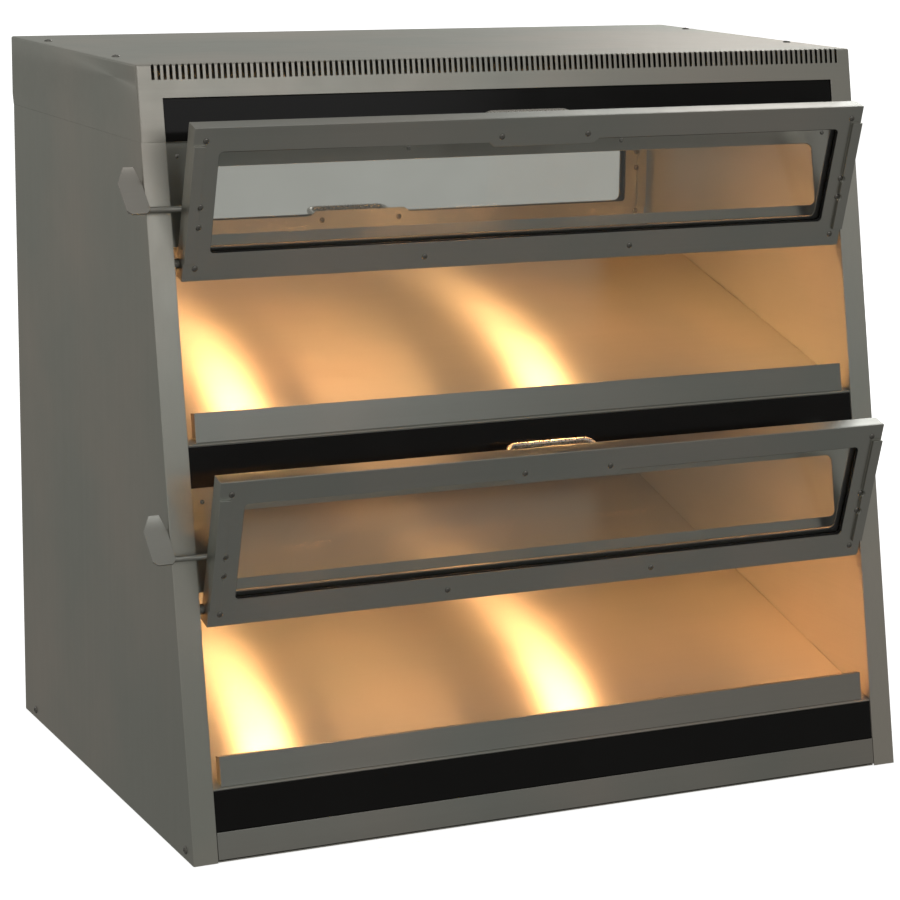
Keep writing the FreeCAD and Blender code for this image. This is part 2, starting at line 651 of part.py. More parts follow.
def front_pivot(drop):
    """Pivot of an open front door whose lower front edge lies on the front face."""
    lean = math.radians(DOOR_LEAN)
    z = DOOR_FOOT_Z + drop
    return (front_y(z) - PIVOT_U * math.sin(lean) + PIVOT_W * math.cos(lean),
            z + PIVOT_U * math.cos(lean) + PIVOT_W * math.sin(lean))


def rear_pivot(drop):
    """Pivot of a closed rear door that hangs just clear of the shelf."""
    foot = shelf_z(REAR_Y, drop) + REAR_DOOR_GAP
    return (REAR_Y - 1 - (DOOR_DEPTH - PIVOT_W), foot + DOOR_HEIGHT - PIVOT_U)


def hang_front(shape, drop):
    y, z = front_pivot(drop)
    placed = shape.copy()
    placed.translate(FreeCAD.Vector(0, -PIVOT_W, -PIVOT_U))
    placed.rotate(FreeCAD.Vector(0, 0, 0), X_AXIS, DOOR_LEAN)
    placed.translate(FreeCAD.Vector(0, y, z))
    return placed


def hang_rear(shape, drop):
    y, z = rear_pivot(drop)
    placed = shape.copy()
    placed.translate(FreeCAD.Vector(0, -PIVOT_W, -PIVOT_U))
    placed.rotate(FreeCAD.Vector(0, 0, 0), Y_AXIS, 180)
    placed.translate(FreeCAD.Vector(0, y, z))
    return placed


def housing_screws():
    """Screws through the side panels into the base, and through the top cap."""
    screws = []
    for side in (-1, 1):
        for y in SIDE_SCREWS_Y:
            screws.append(screw((side * HALF, y, SCREW_Z), (side, 0, 0), head=5, length=6))
        for y in CAP_SCREWS_Y:
            spot = (side * (HALF - CAP_SCREW_INSET), y, CAB_HEIGHT)
            screws.append(screw(spot, (0, 0, 1), head=5, length=8))
    return Part.makeCompound(screws)


def side_screw_holes():
    return Part.makeCompound([rod((side * (HALF - 20), y, SCREW_Z), (side * (HALF + 1), y, SCREW_Z),
                                  SCREW_HOLE_RADIUS) for side in (-1, 1) for y in SIDE_SCREWS_Y])


def cap_screw_holes():
    holes = []
    for x in (-HALF + CAP_SCREW_INSET, HALF - CAP_SCREW_INSET):
        for y in CAP_SCREWS_Y:
            holes.append(rod((x, y, CAB_HEIGHT - 9), (x, y, CAB_HEIGHT + 1), SCREW_HOLE_RADIUS))
    return Part.makeCompound(holes)


def rivet_holes():
    return on_front(Part.makeCompound([rod((x, 0, s), (x, 20, s), RIVET_RADIUS)
                                       for x, s in rivet_spots()]))


# ---------------------------------------------------------------- make every piece
def save_casing():
    panel = side_panel()
    side_holes = side_screw_holes()
    save("side_panel_right", panel.cut(side_holes))
    save("side_panel_left", mirrored(panel).cut(side_holes))
    save("top_cap", top_cap().cut(cap_screw_holes()))
    save("base_pan", base_pan().cut(side_holes))
    save("kick_panel", kick_panel())
    save("housing_screws", housing_screws())

    panel_to_shelf = 18.0
    lower_sill, upper_sill = (shelf_z(REAR_Y, drop) for drop in (-TIER_PITCH, 0.0))
    gland_hole = rod((GLAND_X, REAR_Y - 20, GLAND_Z), (GLAND_X, REAR_Y + 20, GLAND_Z), GLAND_HOLE_RADIUS)
    save("rear_panel_lower", rear_panel((2.0, lower_sill - panel_to_shelf)).cut(gland_hole))
    foot = lower_sill + REAR_DOOR_GAP + DOOR_HEIGHT + REAR_DOOR_HEADROOM
    save("rear_panel_middle", rear_panel((foot, upper_sill - panel_to_shelf)))
    save("cable_gland", cable_gland())


def save_inside():
    centres = [front_pivot(drop) for _, drop in TIERS] + [rear_pivot(drop) for _, drop in TIERS]
    pin_holes = Part.makeCompound([rod((-HALF + 5, y, z), (HALF - 5, y, z), PIN_RADIUS)
                                   for y, z in centres])
    save("pivot_pins", Part.makeCompound(pivot_pins(centres)))
    wall = inner_wall()
    save("inner_wall_right", wall.cut(pin_holes))
    save("inner_wall_left", mirrored(wall).cut(pin_holes))
    save("lamp_sockets", lamp_sockets())
    save("lamp_guards", lamp_guards())
    save("control_board", control_board())
    for tier, drop in TIERS:
        save("shelf_" + tier, shelf(drop, tier == "lower"))
        save("shelf_lip_" + tier, shelf_lip(drop))
        save("ceiling_" + tier, ceiling(drop))
        save("lamp_reflector_" + tier, lamp_reflector(drop))
        save("heat_lamps_" + tier, heat_lamps(drop))


def save_fixed_front():
    save("transom_rivets", transom_rivets())
    holes = rivet_holes()
    for tier, drop in TIERS:
        save("transom_frame_" + tier, transom_frame(drop).cut(holes))
        save("transom_glass_" + tier, transom_glass(drop))
    under_shelf = SHELF_FRONT_Z - SKIN
    save("front_glass_upper", front_glass(BAND_BOTTOM_Z, BAND_TOP_Z))
    save("front_glass_middle", front_glass(BAND_BOTTOM_Z - TIER_PITCH, under_shelf))
    save("front_glass_lower", front_glass(KICK_TOP_Z, under_shelf - TIER_PITCH))


def save_doors(place, hang, strip_screws, pull_lean):
    """The pieces of one kind of door, hung in both tiers."""
    screws = door_screws(strip_screws)
    band = box((-HALF, HALF), (0, 9), (0, DOOR_HEIGHT))
    shanks = Part.makeCompound([screw_solid.common(band) for screw_solid in screws.Solids])
    pieces = {"tray": door_tray(), "retainer": door_retainer(strip_screws).cut(shanks),
              "glass": door_glass(), "gasket": door_gasket(), "pull": door_pull(pull_lean),
              "screws": screws}
    if place == "front":
        pieces["lever"] = door_lever()
    for tier, drop in TIERS:
        for piece, shape in pieces.items():
            save("_".join((place, "door", piece, tier)), hang(shape, drop))


def main():
    os.makedirs("parts", exist_ok=True)
    save_casing()
    save_inside()
    save_fixed_front()
    save_doors("front", hang_front, LEVER_SCREWS_U, PULL_LEAN)
    save_doors("rear", hang_rear, REAR_STRIP_SCREWS_U, -PULL_LEAN)


main()
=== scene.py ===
import json
import math

import bmesh
import bpy
from mathutils import Matrix, Vector


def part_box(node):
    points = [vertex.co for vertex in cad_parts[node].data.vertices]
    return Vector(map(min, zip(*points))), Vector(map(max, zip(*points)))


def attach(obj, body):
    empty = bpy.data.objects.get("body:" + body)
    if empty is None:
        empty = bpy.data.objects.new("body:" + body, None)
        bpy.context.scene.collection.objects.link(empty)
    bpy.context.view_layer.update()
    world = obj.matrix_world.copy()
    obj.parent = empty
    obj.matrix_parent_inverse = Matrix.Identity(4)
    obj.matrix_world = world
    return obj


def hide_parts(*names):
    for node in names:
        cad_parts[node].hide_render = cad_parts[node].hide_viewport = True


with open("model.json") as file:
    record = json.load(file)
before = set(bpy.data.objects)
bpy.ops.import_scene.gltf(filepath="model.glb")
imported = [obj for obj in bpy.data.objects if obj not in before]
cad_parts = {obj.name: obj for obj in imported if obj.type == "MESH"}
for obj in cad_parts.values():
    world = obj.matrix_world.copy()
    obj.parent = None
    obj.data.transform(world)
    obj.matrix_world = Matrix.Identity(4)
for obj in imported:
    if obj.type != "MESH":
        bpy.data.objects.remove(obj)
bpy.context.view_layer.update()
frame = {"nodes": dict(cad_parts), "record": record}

NODES = frame["nodes"]
BODY_OF = {node: body for body, members in frame["record"]["behaviour"]["bodies"].items()
           for node in members}
SLOT_OF = {part["node"]: part["material_slot"] for part in frame["record"]["subparts"]}
TIERS = ("upper", "lower")

# brushed steel, with the size of its patterns in cells per metre
GRAIN_ALONG = 2.5
GRAIN_ACROSS = 430.0
BAND_ALONG = 1.5                # wider bands of gloss
BAND_ACROSS = 94.6
CLOUDS = 3.0
MARKS = 26.0
WARM_TINT = (1.04, 0.99, 0.95)
COOL_TINT = (0.97, 1.01, 0.99)
CLOUD_CONTRAST = 0.05
LINE_CONTRAST = 0.10
LINE_SHADE = 0.78
LINE_RELIEF = 0.02
BAND_GLOSS = 0.015              # change of roughness in the bands
MARK_GLOSS = (-0.012, 0.02)     # and in the marks
SKIN = 0.0001                   # height of fine relief
COARSE_SKIN = 0.0002

# sheet parts and panes
WELD = 2e-6
FLAT_ANGLE = math.radians(0.6)
FOLD_ANGLE = math.radians(40)
SMOOTH_ANGLE = math.radians(35)
SHORTEST_FOLD = 2.5             # edges shorter than this many widths stay sharp
PLAIN_SHEET = 0.00045
PANE_EDGE = 0.0005
SOFT_WIDTHS = {"top_cap": 0.0004, "kick_panel": 0.0006, "base_pan": 0.0004}

# pan head of radius 1: distance from the axis and height of each point of its outline
HEAD_HEIGHT = 0.45
HEAD_PROFILE = ((1.0, 0.0), (1.0, 0.07), (0.975, 0.13), (0.90, 0.22), (0.76, 0.31), (0.55, 0.38),
                (0.3, 0.43), (0.0, HEAD_HEIGHT))
HEAD_SIDES = 28
HEAD_FIT = 0.98                 # a little inside the CAD's head
HEAD_SMOOTH_ANGLE = math.radians(30)
RECESS = (1.05, 0.2, 0.44)      # length, width and twice the depth of one arm
FIRST_TURN = 0.35
NEXT_TURN = 1.1

# heat lamps
WARM = (1.0, 0.51, 0.20)        # colour of their light
LAMP_POWER = 2.1
LAMP_DROP = 0.001               # from a lamp down to its light
LIT_SIZE = (0.062, 0.011)       # glowing part of a lamp
TROUGH_POWER = {"upper": 0.45, "lower": 0.2}
TROUGH_LIT = 0.25               # share of a trough's length
TROUGH_WIDTH = 0.07
TROUGH_SHIFT = 0.03             # towards the left
TROUGH_DROP = 0.004
FILAMENT_TURNS = 26
FILAMENT_STEPS = 10             # points in one turn
FILAMENT_WIRE = 0.00035
FILAMENT_COIL = 0.0014
COIL_REACH = 0.36               # from the middle, as a share of the lamp's length
LEAD_REACH = 0.46

# cable gland
GLAND_SIDES = 48
GLAND_BORE = 0.0055
GLAND_NECK = 0.0088
GLAND_NUT = 0.0110
NUT_RIPPLE = 0.06

# studio
SENSOR_WIDTH = 36.0
LENS = 112.6
CLIP_END = 60.0
CAMERA_SPOT = (-1.4576, -3.0632, 1.1023)
CAMERA_RIGHT = (0.90460, -0.42608, 0.01279)
CAMERA_UP = (0.07896, 0.19699, 0.97722)
CAMERA_BACK = (-0.41889, -0.88299, 0.21184)
LIGHT_TARGET = Vector((0.0, 0.0, 0.45))
SOFTBOXES = (                   # name, place, size and power
    ("rear_right_low", (3.4, 3.0, 0.9), (1.2, 0.8), 11.0),
    ("rear_right_high", (3.05, 2.8, 3.3), (1.8, 1.3), 23.0),
    ("front_above", (0.2, -3.6, 1.95), (3.0, 1.3), 10.5),
    ("left_front", (-2.9, -3.0, 1.2), (0.9, 1.6), 3.0),
    ("rear_left", (-3.2, 2.6, 1.6), (1.2, 1.4), 4.0),
)
ROOM_SHADES = (                 # from straight down, 0, to straight up, 1
    (0.0, (0.15, 0.15, 0.145)),
    (0.35, (0.22, 0.217, 0.205)),
    (0.44, (0.265, 0.262, 0.245)),
    (0.60, (0.27, 0.267, 0.25)),
    (1.0, (0.40, 0.40, 0.39)),
)
BRIGHT_SIDE = (0.6, 0.8, 0.0)   # the room is brightest in this direction
BRIGHTEST = 1.55
FLOOR_HALF = 9.0
FLOOR_DROP = 0.0006
FLOOR_GLOW = 0.80
BACKDROP_RADIUS = 8.5
BACKDROP_GLOW = 1.0


# ---------------------------------------------------------------- node helpers
def new_material(name):
    """An empty material with its tree, shader and object coordinates."""
    made = bpy.data.materials.new(name)
    made.use_nodes = True
    tree = made.node_tree
    shader = tree.nodes["Principled BSDF"]
    place = tree.nodes.new("ShaderNodeTexCoord").outputs["Object"]
    return made, tree, shader, place


def noise(tree, place, scale, detail=2.0, roughness=0.5):
    """Noise over the object's own metres; scale is cells per metre along X, Y and Z."""
    stretch = tree.nodes.new("ShaderNodeMapping")
    stretch.inputs["Scale"].default_value = scale
    tree.links.new(place, stretch.inputs["Vector"])
    made = tree.nodes.new("ShaderNodeTexNoise")
    made.inputs["Scale"].default_value = 1.0
    made.inputs["Detail"].default_value = detail
    made.inputs["Roughness"].default_value = roughness
    tree.links.new(stretch.outputs["Vector"], made.inputs["Vector"])
    return made.outputs["Fac"]


def ramp(tree, value, low, high, start=0.3, end=0.7):
    """Value from start to end, mapped to low to high."""
    made = tree.nodes.new("ShaderNodeMapRange")
    made.inputs["From Min"].default_value = start
    made.inputs["From Max"].default_value = end
    made.inputs["To Min"].default_value = low
    made.inputs["To Max"].default_value = high
    tree.links.new(value, made.inputs["Value"])
    return made.outputs["Result"]


def blend_colours(tree, factor, first, second):
    """Mix of two colours. Each argument is a socket or a plain value."""
    made = tree.nodes.new("ShaderNodeMix")
    made.data_type = "RGBA"
    wanted = ((made.inputs[0], factor), (made.inputs[6], first), (made.inputs[7], second))
    for socket, value in wanted:
        if isinstance(value, bpy.types.NodeSocket):
            tree.links.new(value, socket)
        elif isinstance(value, tuple):
            socket.default_value = (*value, 1.0)
        else:
            socket.default_value = value
    return made.outputs[2]


def add_bump(tree, shader, height, strength, distance):
    """Fine relief on a shader, from a pattern."""
    made = tree.nodes.new("ShaderNodeBump")
    made.inputs["Strength"].default_value = strength
    made.inputs["Distance"].default_value = distance
    tree.links.new(height, made.inputs["Height"])
    tree.links.new(made.outputs["Normal"], shader.inputs["Normal"])


def tinted(colour, amount):
    """A colour made darker or lighter."""
    return tuple(min(1.0, c * amount) for c in colour)


# ---------------------------------------------------------------- materials
def grain_scale(grain, along, across):
    """Scale of a noise that is drawn out along one axis."""
    return [along if axis == grain else across for axis in "XYZ"]


def brushed_steel(name, colour, roughness, anisotropy, grain="X", metallic=1.0, depth=1.0):
    """Steel brushed along one axis: fine lines of a given depth, faint clouding, and gloss drawn
    out across the grain."""
    made, tree, shader, place = new_material(name)
    lines = noise(tree, place, grain_scale(grain, GRAIN_ALONG, GRAIN_ACROSS), 3.0, 0.65)
    bands = noise(tree, place, grain_scale(grain, BAND_ALONG, BAND_ACROSS), 1.0)
    clouds = noise(tree, place, (CLOUDS,) * 3, 3.0)
    marks = noise(tree, place, (MARKS,) * 3, 4.0, 0.6)
    warm = tuple(c * k for c, k in zip(colour, WARM_TINT))
    cool = tuple(c * k for c, k in zip(colour, COOL_TINT))
    base = blend_colours(tree, ramp(tree, clouds, 0.0, 1.0, 0.38, 0.62),
                         tinted(cool, 1 - CLOUD_CONTRAST), tinted(warm, 1 + CLOUD_CONTRAST))
    base = blend_colours(tree, ramp(tree, lines, 0.0, LINE_CONTRAST * depth), base,
                         tinted(colour, LINE_SHADE))
    tree.links.new(base, shader.inputs["Base Color"])
    total = tree.nodes.new("ShaderNodeMath")
    total.operation = "ADD"
    tree.links.new(ramp(tree, bands, roughness - BAND_GLOSS, roughness + BAND_GLOSS), total.inputs[0])
    tree.links.new(ramp(tree, marks, *MARK_GLOSS, 0.4, 0.7), total.inputs[1])
    tree.links.new(total.outputs[0], shader.inputs["Roughness"])
    shader.inputs["Metallic"].default_value = metallic
    shader.inputs["Anisotropic"].default_value = anisotropy
    geometry = tree.nodes.new("ShaderNodeNewGeometry")
    cross = tree.nodes.new("ShaderNodeVectorMath")
    cross.operation = "CROSS_PRODUCT"
    cross.inputs[1].default_value = [float(axis == grain) for axis in "XYZ"]
    tree.links.new(geometry.outputs["Normal"], cross.inputs[0])
    tree.links.new(cross.outputs["Vector"], shader.inputs["Tangent"])
    add_bump(tree, shader, lines, LINE_RELIEF * depth, SKIN)
    return made


def bright_metal(name, colour, roughness):
    """Turned or drawn metal: pans of screws, pins and wire, lightly rubbed."""
    made, tree, shader, place = new_material(name)
    rub = noise(tree, place, (380.0,) * 3, 3.0)
    tree.links.new(blend_colours(tree, ramp(tree, rub, 0.0, 0.45), colour, tinted(colour, 0.62)),
                   shader.inputs["Base Color"])
    tree.links.new(ramp(tree, rub, roughness - 0.05, roughness + 0.1), shader.inputs["Roughness"])
    shader.inputs["Metallic"].default_value = 1.0
    add_bump(tree, shader, rub, 0.12, SKIN)
    return made


def black_glass():
    """Opaque glossy strip with a faint film on it."""
    made, tree, shader, place = new_material("black_glass")
    film = noise(tree, place, (9.0,) * 3, 4.0, 0.6)
    tree.links.new(blend_colours(tree, ramp(tree, film, 0.0, 1.0), (0.0085, 0.0080, 0.0078),
                                 (0.0105, 0.0100, 0.0098)), shader.inputs["Base Color"])
    tree.links.new(ramp(tree, film, 0.10, 0.17), shader.inputs["Roughness"])
    shader.inputs["Specular IOR Level"].default_value = 0.16
    return made


def clear_glass(name, colour, roughness=0.012):
    """Clear pane or tube with a faint film on it."""
    made, tree, shader, place = new_material(name)
    film = noise(tree, place, (14.0,) * 3, 4.0, 0.6)
    tree.links.new(blend_colours(tree, ramp(tree, film, 0.0, 1.0), colour, tinted(colour, 0.97)),
                   shader.inputs["Base Color"])
    tree.links.new(ramp(tree, film, roughness * 0.5, roughness * 1.6), shader.inputs["Roughness"])
    shader.inputs["Transmission Weight"].default_value = 1.0
    shader.inputs["IOR"].default_value = 1.45
    return made


def matte(name, colour, roughness, grain_size=900.0, depth=0.25, coat=0.0):
    """Rubber, ceramic or moulded plastic: a fine even texture with slightly uneven colour."""
    made, tree, shader, place = new_material(name)
    grain = noise(tree, place, (grain_size,) * 3, 3.0)
    patch = noise(tree, place, (60.0,) * 3, 2.0)
    tree.links.new(blend_colours(tree, ramp(tree, patch, 0.0, 1.0), tinted(colour, 0.85),
                                 tinted(colour, 1.12)), shader.inputs["Base Color"])
    tree.links.new(ramp(tree, grain, roughness - 0.05, roughness + 0.08), shader.inputs["Roughness"])
    shader.inputs["Coat Weight"].default_value = coat
    add_bump(tree, shader, grain, depth, COARSE_SKIN)
    return made


def circuit_board():
    """Green board with pale tracks."""
    made, tree, shader, place = new_material("circuit_board")
    cells = tree.nodes.new("ShaderNodeTexVoronoi")
    cells.feature = "DISTANCE_TO_EDGE"
    cells.inputs["Scale"].default_value = 160.0
    tree.links.new(place, cells.inputs["Vector"])
    tracks = ramp(tree, cells.outputs["Distance"], 1.0, 0.0, 0.03, 0.07)
    tree.links.new(blend_colours(tree, tracks, (0.012, 0.075, 0.03), (0.05, 0.17, 0.07)),
                   shader.inputs["Base Color"])
    shader.inputs["Roughness"].default_value = 0.35
    add_bump(tree, shader, tracks, 0.3, COARSE_SKIN)
    return made


def glowing(name, colour, strength):
    """Hot wire."""
    made, tree, shader, place = new_material(name)
    pulse = noise(tree, place, (700.0,) * 3, 1.0)
    tree.links.new(blend_colours(tree, ramp(tree, pulse, 0.0, 1.0), tinted(colour, 0.8), colour),
                   shader.inputs["Emission Color"])
    shader.inputs["Emission Strength"].default_value = strength
    shader.inputs["Base Color"].default_value = (0.05, 0.04, 0.035, 1.0)
    return made


STEEL = (0.50, 0.49, 0.455)
MATERIALS = {
    "casing_upright": brushed_steel("casing_upright", STEEL, 0.40, 0.55, "Z"),
    "casing_steel": brushed_steel("casing_steel", STEEL, 0.36, 0.6, "X"),
    "frame_steel": brushed_steel("frame_steel", (0.44, 0.435, 0.41), 0.33, 0.6, "X"),
    "liner_steel": brushed_steel("liner_steel", (0.52, 0.50, 0.46), 0.315, 1.0, "X", 0.72, 0.6),
    # painted shade: the lips and kick panel get a darker copy of the steel, standing for the darker
    # reflections their grain catches
    "lip_steel_painted_shade": brushed_steel("lip_steel_painted_shade", (0.36, 0.355, 0.335), 0.32, 0.6, "X"),
    "liner_upright": brushed_steel("liner_upright", (0.54, 0.51, 0.47), 0.46, 0.5, "Y", 0.72),
    "reflector": brushed_steel("reflector", (0.82, 0.81, 0.79), 0.2, 0.3, "X"),
    "black_glass": black_glass(),
    "clear_glass": clear_glass("clear_glass", (0.955, 0.965, 0.955)),
    "quartz": clear_glass("quartz", (1.0, 0.97, 0.92), 0.05),
    "gasket": matte("gasket", (0.012, 0.012, 0.012), 0.6),
    "ceramic": matte("ceramic", (0.72, 0.68, 0.60), 0.42, 500.0, 0.2, 0.15),
    "gland_plastic": matte("gland_plastic", (0.018, 0.018, 0.018), 0.5),
    "circuit_board": circuit_board(),
    "pull_wire": bright_metal("pull_wire", (0.56, 0.53, 0.48), 0.26),
    # painted shade: the screw steel is made much darker than the frame's, so the heads read dark as
    # the dark room they mirror makes them look
    "fastener_steel": bright_metal("fastener_steel", (0.27, 0.26, 0.24), 0.17),
    "filament": glowing("filament", (1.0, 0.62, 0.28), 60.0),
}
UPRIGHT = ("side_panel_left", "side_panel_right")
LINER_SIDES = ("inner_wall_left", "inner_wall_right")
FRONT_EDGES = ("shelf_lip_upper", "shelf_lip_lower", "kick_panel")


def finish_of(node):
    """Material of a node: its slot's, or steel with another grain, or for the front edges a darker
    copy with painted shade.
    """
    if node in UPRIGHT:
        return MATERIALS["casing_upright"]
    if node in LINER_SIDES:
        return MATERIALS["liner_upright"]
    if node in FRONT_EDGES:
        return MATERIALS["lip_steel_painted_shade"]
    return MATERIALS[SLOT_OF[node]]


def paint(piece, made):
    """Puts one material in every slot of a piece, and makes a slot when it has none."""
    if not piece.material_slots:
        piece.data.materials.append(made)
    for slot in piece.material_slots:
        slot.material = made


# ---------------------------------------------------------------- piece helpers
def add_piece(name, mesh, node, *replaced):
    """A new piece that rides with a CAD node and may stand for nodes."""
    piece = bpy.data.objects.new(name, mesh)
    bpy.context.scene.collection.objects.link(piece)
    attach(piece, BODY_OF[node])
    if replaced:
        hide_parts(*replaced)
    return piece


def welded(node):
    """A node's mesh with its split corners joined."""
    form = bmesh.new()
    form.from_mesh(NODES[node].data)
    bmesh.ops.remove_doubles(form, verts=form.verts, dist=WELD)
    return form


def soften(node, width, ending):
    """Rounds a node's sharp edges, so that its folds and cut edges catch the light."""
    form = welded(node)
    bmesh.ops.dissolve_limit(form, angle_limit=FLAT_ANGLE, verts=form.verts, edges=form.edges)
    sharp = [e for e in form.edges if len(e.link_faces) == 2
             and e.calc_face_angle(0.0) > FOLD_ANGLE and e.calc_length() > SHORTEST_FOLD * width]
    bmesh.ops.bevel(form, geom=sharp, offset=width, offset_type="OFFSET", segments=2,
                    profile=0.5, affect="EDGES", clamp_overlap=False)
    bmesh.ops.recalc_face_normals(form, faces=form.faces)
    mesh = bpy.data.meshes.new(node + "_soft")
    form.to_mesh(mesh)
    form.free()
    mesh.polygons.foreach_set("use_smooth", [True] * len(mesh.polygons))
    mesh.set_sharp_from_angle(angle=SMOOTH_ANGLE)
    piece = add_piece(f"{node}_{ending}", mesh, node, node)
    paint(piece, finish_of(node))
    piece.modifiers.new("weighted", "WEIGHTED_NORMAL").keep_sharp = True
    return piece


def islands(node):
    """The separate solids of a node, each as a list of points."""
    form = welded(node)
    left = set(form.verts)
    groups = []
    while left:
        stack = [left.pop()]
        group = []
        while stack:
            vert = stack.pop()
            group.append(vert.co.copy())
            for edge in vert.link_edges:
                other = edge.other_vert(vert)
                if other in left:
                    left.remove(other)
                    stack.append(other)
        groups.append(group)
    form.free()
    return groups


def facing(node):
    """Direction square to a node's largest face, with its Y pointing to the front."""
    largest = max(NODES[node].data.polygons, key=lambda face: face.area)
    out = largest.normal.copy()
    return -out if out.y > 0 else out


# ---------------------------------------------------------------- screws
def screw_head():
    """Pan head of radius 1 with a cross recess, its seat at the origin."""
    form = bmesh.new()
    points = [form.verts.new((r, 0, z)) for r, z in HEAD_PROFILE]
    lines = [form.edges.new(pair) for pair in zip(points, points[1:])]
    bmesh.ops.spin(form, geom=points + lines, cent=(0, 0, 0), axis=(0, 0, 1),
                   angle=math.tau, steps=HEAD_SIDES, use_merge=True)
    bmesh.ops.remove_doubles(form, verts=form.verts, dist=1e-4)
    rim = [e for e in form.edges if e.is_boundary]
    bmesh.ops.contextual_create(form, geom=rim)
    bmesh.ops.recalc_face_normals(form, faces=form.faces)
    mesh = bpy.data.meshes.new("screw_head")
    form.to_mesh(mesh)
    form.free()
    head = bpy.data.objects.new("screw_head", mesh)
    bpy.context.scene.collection.objects.link(head)
    cutters = []
    long, narrow, deep = RECESS
    for size in ((long, narrow, deep), (narrow, long, deep)):
        cut = bmesh.new()
        bmesh.ops.create_cube(cut, size=1.0)
        bmesh.ops.scale(cut, vec=size, verts=cut.verts)
        bmesh.ops.translate(cut, vec=(0, 0, HEAD_HEIGHT), verts=cut.verts)
        cut_mesh = bpy.data.meshes.new("recess")
        cut.to_mesh(cut_mesh)
        cut.free()
        cutter = bpy.data.objects.new("recess", cut_mesh)
        bpy.context.scene.collection.objects.link(cutter)
        step = head.modifiers.new("recess", "BOOLEAN")
        step.operation = "DIFFERENCE"
        step.object = cutter
        cutters.append(cutter)
    bpy.context.view_layer.update()
    evaluated = head.evaluated_get(bpy.context.evaluated_depsgraph_get())
    finished = bpy.data.meshes.new_from_object(evaluated)
    for spare in [head] + cutters:
        bpy.data.objects.remove(spare)
    return finished


HEAD = screw_head()


def detailed_screws(node, direction):
    """Recessed heads where a CAD node has its plain ones. direction may depend on the place."""
    form = bmesh.new()
    for count, group in enumerate(islands(node)):
        middle = sum(group, Vector()) / len(group)
        out = direction(middle) if callable(direction) else direction
        side = out.orthogonal().normalized()
        other = out.cross(side)
        spans = []
        for axis in (side, other):
            reach = [p.dot(axis) for p in group]
            spans.append((min(reach), max(reach)))
        radius = (spans[0][1] - spans[0][0]) / 2 * HEAD_FIT
        top = max(p.dot(out) for p in group)
        seat = top - radius * HEAD_HEIGHT
        centre = side * sum(spans[0]) / 2 + other * sum(spans[1]) / 2 + out * seat
        frame_turn = Matrix((side, other, out)).transposed().to_4x4()
        spin = Matrix.Rotation(FIRST_TURN + count * NEXT_TURN, 4, "Z")
        place = Matrix.Translation(centre) @ frame_turn @ spin @ Matrix.Scale(radius, 4)
        one = HEAD.copy()
        one.transform(place)
        form.from_mesh(one)
        bpy.data.meshes.remove(one)
    mesh = bpy.data.meshes.new(node + "_heads")
    form.to_mesh(mesh)
    form.free()
    mesh.polygons.foreach_set("use_smooth", [True] * len(mesh.polygons))
    mesh.set_sharp_from_angle(angle=HEAD_SMOOTH_ANGLE)
    piece = add_piece(node + "_recessed", mesh, node, node)
    paint(piece, finish_of(node))


def housing_direction(point):
    """Out of the cap for the top screws, out of the side for the others."""
    low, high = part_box("top_cap")
    if point.z > (low.z + high.z) / 2:
        return Vector((0, 0, 1))
    return Vector((math.copysign(1, point.x), 0, 0))


# ---------------------------------------------------------------- lamps
def lamp_boxes(tier):
    """Lowest and highest corner of each lamp of a tier."""
    found = []
    for group in islands("heat_lamps_" + tier):
        low = Vector([min(p[i] for p in group) for i in range(3)])
        high = Vector([max(p[i] for p in group) for i in range(3)])
        found.append((low, high))
    return sorted(found, key=lambda pair: pair[0].x)


def filament(name, low, high, node):
    """Coiled filament along a lamp, with straight leads at its ends."""
    centre = (low + high) / 2
    coil = (high.x - low.x) * COIL_REACH
    lead = (high.x - low.x) * LEAD_REACH
    curve = bpy.data.curves.new(name, "CURVE")
    curve.dimensions = "3D"
    curve.bevel_depth = FILAMENT_WIRE
    curve.bevel_resolution = 2
    points = [Vector((-lead, 0, 0))]
    steps = FILAMENT_TURNS * FILAMENT_STEPS
    for i in range(steps + 1):
        angle = i / FILAMENT_STEPS * math.tau
        points.append(Vector((-coil + 2 * coil * i / steps, FILAMENT_COIL * math.cos(angle),
                              FILAMENT_COIL * math.sin(angle))))
    points.append(Vector((lead, 0, 0)))
    spline = curve.splines.new("POLY")
    spline.points.add(len(points) - 1)
    for point, spot in zip(spline.points, points):
        point.co = (*(centre + spot), 1.0)
    wire = bpy.data.objects.new(name + "_wire", curve)
    mesh = bpy.data.meshes.new_from_object(wire)
    bpy.data.objects.remove(wire)
    piece = add_piece(name, mesh, node)
    paint(piece, MATERIALS["filament"])


def area_light(name, spot, size, power, colour):
    """Rectangular light that faces down until it is turned."""
    light = bpy.data.lights.new(name, "AREA")
    light.shape = "RECTANGLE"
    light.size, light.size_y = size
    light.energy = power
    light.color = colour
    holder = bpy.data.objects.new(name, light)
    bpy.context.scene.collection.objects.link(holder)
    holder.location = spot
    holder.visible_camera = False
    return holder


def lamp_light(low, high):
    """The heat lamp's own light, aimed down from under its coil."""
    spot = ((low.x + high.x) / 2, (low.y + high.y) / 2, low.z - LAMP_DROP)
    area_light("heat_lamp", spot, LIT_SIZE, LAMP_POWER, WARM)


def trough_light(tier):
    """What a lamp trough throws down between its lamps."""
    low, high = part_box("lamp_reflector_" + tier)
    spot = ((low.x + high.x) / 2 - TROUGH_SHIFT, (low.y + high.y) / 2, low.z - TROUGH_DROP)
    size = ((high.x - low.x) * TROUGH_LIT, TROUGH_WIDTH)
    area_light("trough", spot, size, TROUGH_POWER[tier], WARM)


# ---------------------------------------------------------------- cable gland
def ring_of(form, radius, y, centre, ripple):
    """Ring of points about the gland's axis; ripple ribs it."""
    ring = []
    for i in range(GLAND_SIDES):
        angle = math.tau * i / GLAND_SIDES
        reach = radius * (1 - ripple * (i % 2))
        ring.append(form.verts.new((centre.x + reach * math.cos(angle), y,
                                    centre.z + reach * math.sin(angle))))
    return ring


